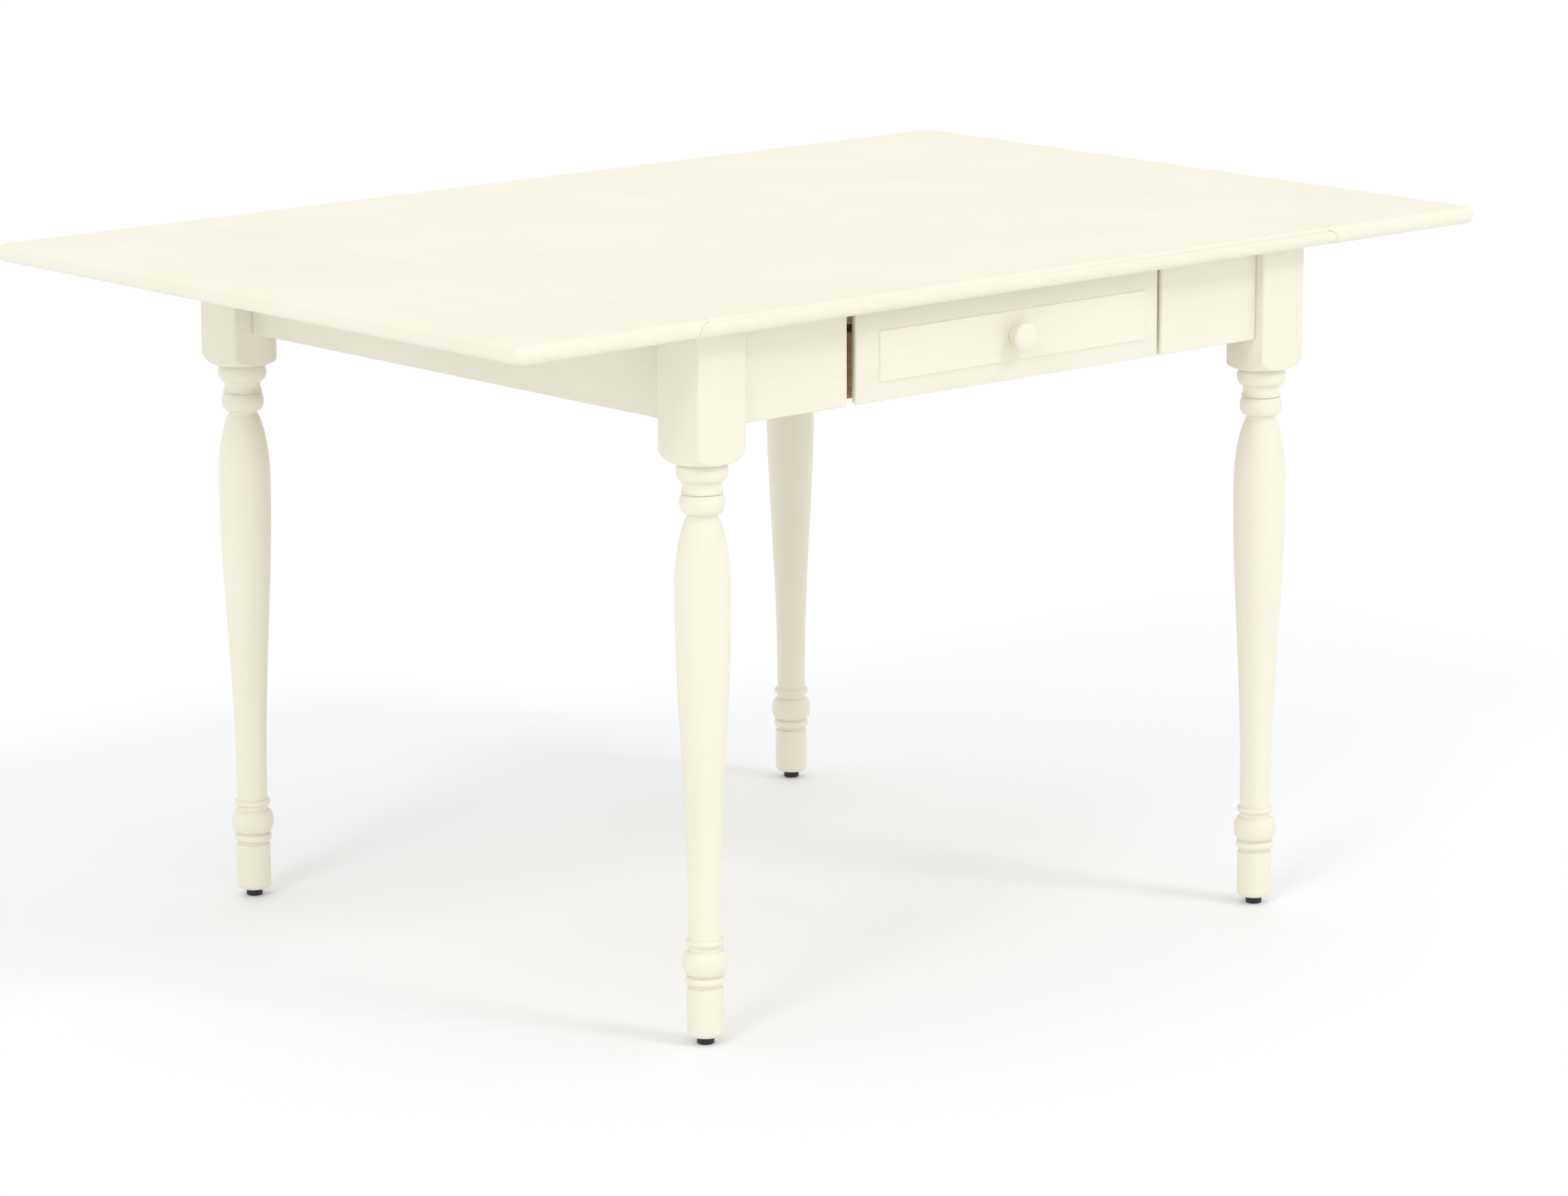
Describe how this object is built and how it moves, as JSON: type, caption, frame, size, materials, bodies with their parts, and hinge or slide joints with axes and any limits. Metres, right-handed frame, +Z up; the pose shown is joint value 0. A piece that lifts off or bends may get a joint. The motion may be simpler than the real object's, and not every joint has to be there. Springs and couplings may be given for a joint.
{
  "type": "drop leaf table",
  "caption": "Ivory painted dining table on turned legs, with a hinged drop leaf at each end, pull-out leaf supports and a front drawer.",
  "frame": {"origin": "on the floor under the middle of the table top", "axes": "+X along the table towards the right-hand leaf, -Y towards the drawer side, +Z up"},
  "size_m": [1.372, 0.9, 0.762],
  "materials": {
    "ivory_paint": "satin paint over wood",
    "bare_wood": "bare sanded hardwood",
    "panel_wood": "smooth thin panel",
    "steel": "zinc plated",
    "black_glide": "matte"
  },
  "bodies": {
    "frame": {"top_centre": "ivory_paint", "leg_front_left": "ivory_paint", "leg_front_right": "ivory_paint", "leg_back_left": "ivory_paint", "leg_back_right": "ivory_paint", "foot_glides": "black_glide", "apron_front_left": "ivory_paint", "apron_front_right": "ivory_paint", "apron_back": "ivory_paint", "apron_end_left": "ivory_paint", "apron_end_right": "ivory_paint", "front_stretcher": "bare_wood", "drawer_stop_block": "bare_wood", "drawer_runner_left": "bare_wood", "drawer_runner_right": "bare_wood", "corner_block_front_left": "bare_wood", "corner_block_front_right": "bare_wood", "corner_block_back_left": "bare_wood", "corner_block_back_right": "bare_wood", "leg_bolts": "steel", "leg_bolt_washers": "steel", "leg_bolt_nuts": "steel", "support_rails_left": "bare_wood", "support_rails_right": "bare_wood", "support_keepers_left": "bare_wood", "support_keepers_right": "bare_wood", "keeper_screws": "steel", "top_brackets": "steel", "top_screws": "steel", "hinge_fixed_plates_left": "steel", "hinge_fixed_plates_right": "steel", "hinge_pins_left": "steel", "hinge_pins_right": "steel", "hinge_fixed_screws_left": "steel", "hinge_fixed_screws_right": "steel"},
    "leaf_left": {"leaf_left": "ivory_paint", "hinge_leaf_plates_left": "steel", "hinge_leaf_screws_left": "steel"},
    "leaf_right": {"leaf_right": "ivory_paint", "hinge_leaf_plates_right": "steel", "hinge_leaf_screws_right": "steel"},
    "support_front_left": {"support_front_left": "bare_wood", "support_peg_front_left": "bare_wood"},
    "support_back_left": {"support_back_left": "bare_wood", "support_peg_back_left": "bare_wood"},
    "support_front_right": {"support_front_right": "bare_wood", "support_peg_front_right": "bare_wood"},
    "support_back_right": {"support_back_right": "bare_wood", "support_peg_back_right": "bare_wood"},
    "drawer": {"drawer_front": "ivory_paint", "drawer_side_left": "bare_wood", "drawer_side_right": "bare_wood", "drawer_back": "bare_wood", "drawer_bottom": "panel_wood", "drawer_dowels": "bare_wood", "drawer_screws": "steel", "drawer_knob": "ivory_paint", "drawer_knob_screw": "steel"}
  },
  "joints": [
    {"name": "leaf_left_hinge", "type": "hinge", "parent": "frame", "child": "leaf_left", "pos_m": [-0.444, 0, 0.746], "axis": [0, 1, 0], "range_deg": [-90, 0]},
    {"name": "leaf_right_hinge", "type": "hinge", "parent": "frame", "child": "leaf_right", "pos_m": [0.444, 0, 0.746], "axis": [0, -1, 0], "range_deg": [-90, 0]},
    {"name": "support_front_left_slide", "type": "slide", "parent": "frame", "child": "support_front_left", "axis": [-1, 0, 0], "range_m": [0, 0.11]},
    {"name": "support_front_right_slide", "type": "slide", "parent": "frame", "child": "support_front_right", "axis": [1, 0, 0], "range_m": [0, 0.11]},
    {"name": "support_back_left_slide", "type": "slide", "parent": "frame", "child": "support_back_left", "axis": [-1, 0, 0], "range_m": [0, 0.11]},
    {"name": "support_back_right_slide", "type": "slide", "parent": "frame", "child": "support_back_right", "axis": [1, 0, 0], "range_m": [0, 0.11]},
    {"name": "drawer_slide", "type": "slide", "parent": "frame", "child": "drawer", "axis": [0, -1, 0], "range_m": [0, 0.28]}
  ]
}
